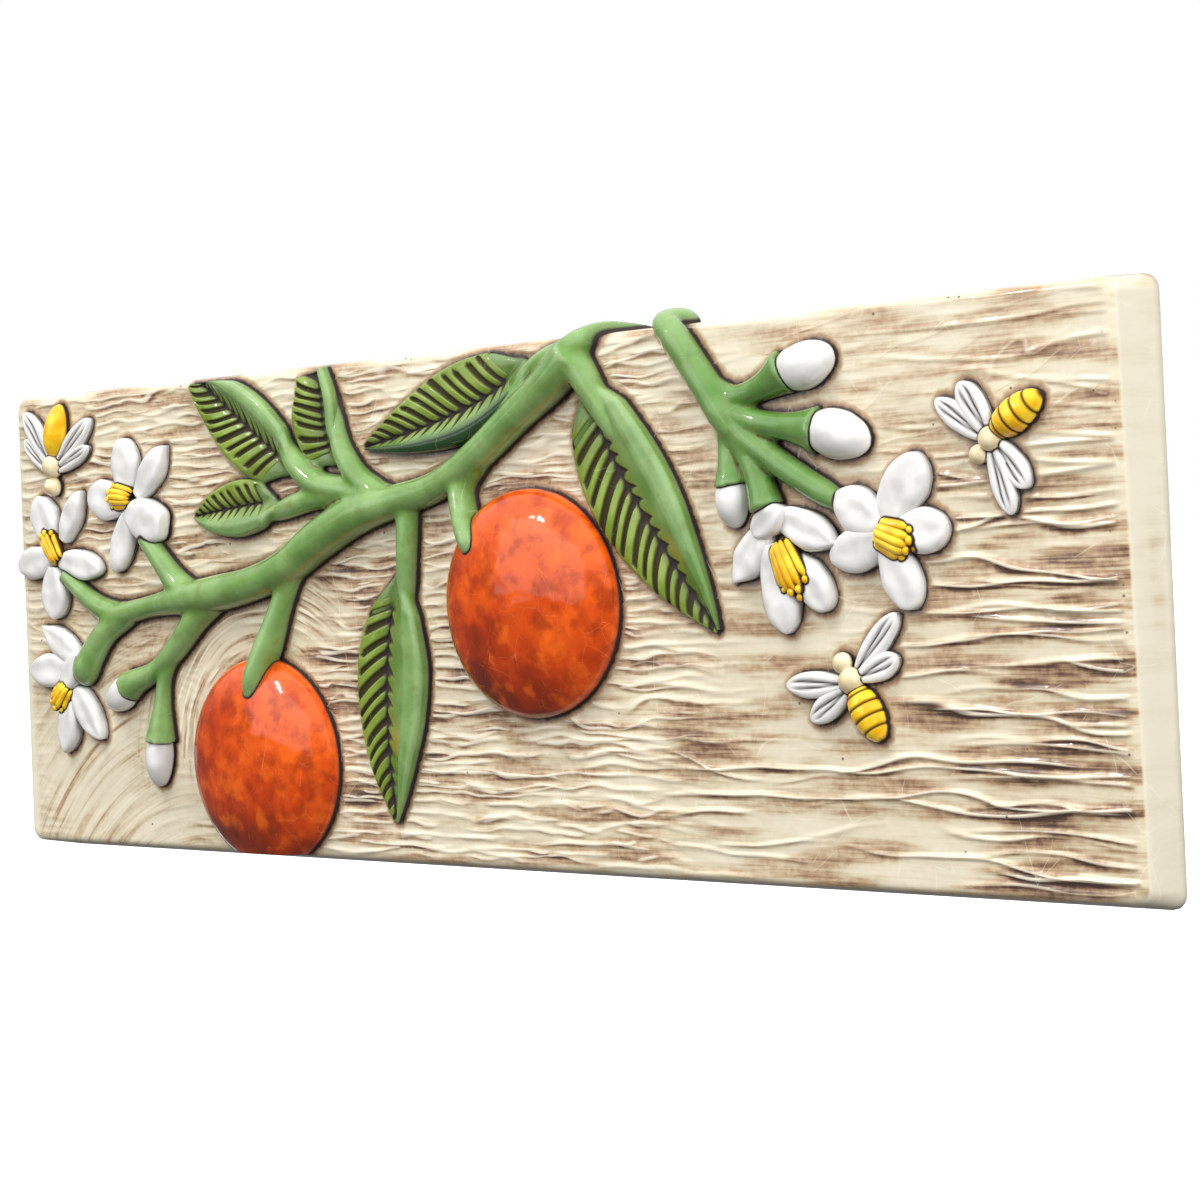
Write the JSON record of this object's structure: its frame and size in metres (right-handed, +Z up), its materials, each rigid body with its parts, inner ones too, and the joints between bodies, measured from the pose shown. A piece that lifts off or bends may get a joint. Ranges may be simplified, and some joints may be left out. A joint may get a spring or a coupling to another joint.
{
  "type": "decorative wall tile",
  "caption": "Long glazed ceramic wall tile with a fruiting orange branch, blossoms and bees in high relief on a combed cream ground, and a flat back that is fixed to a wall.",
  "frame": {"origin": "middle of the flat back face, where the tile meets the wall", "axes": "+X along the tile's length to the viewer's right, +Y into the wall, out of the back face, +Z up"},
  "size_m": [0.525, 0.0357, 0.1887],
  "materials": {
    "ground_glaze": "glossy cream glaze over brown oxide rubbed into the combed ground, with fine crackle",
    "leaf_glaze": "glossy green glaze, darker in the veins and along the edges",
    "orange_glaze": "glossy mottled orange glaze with fine crackle",
    "white_glaze": "glossy opaque white glaze",
    "yellow_glaze": "glossy yellow glaze with brown oxide in the grooves"
  },
  "bodies": {
    "root": {"tile": "ground_glaze"}
  },
  "joints": []
}
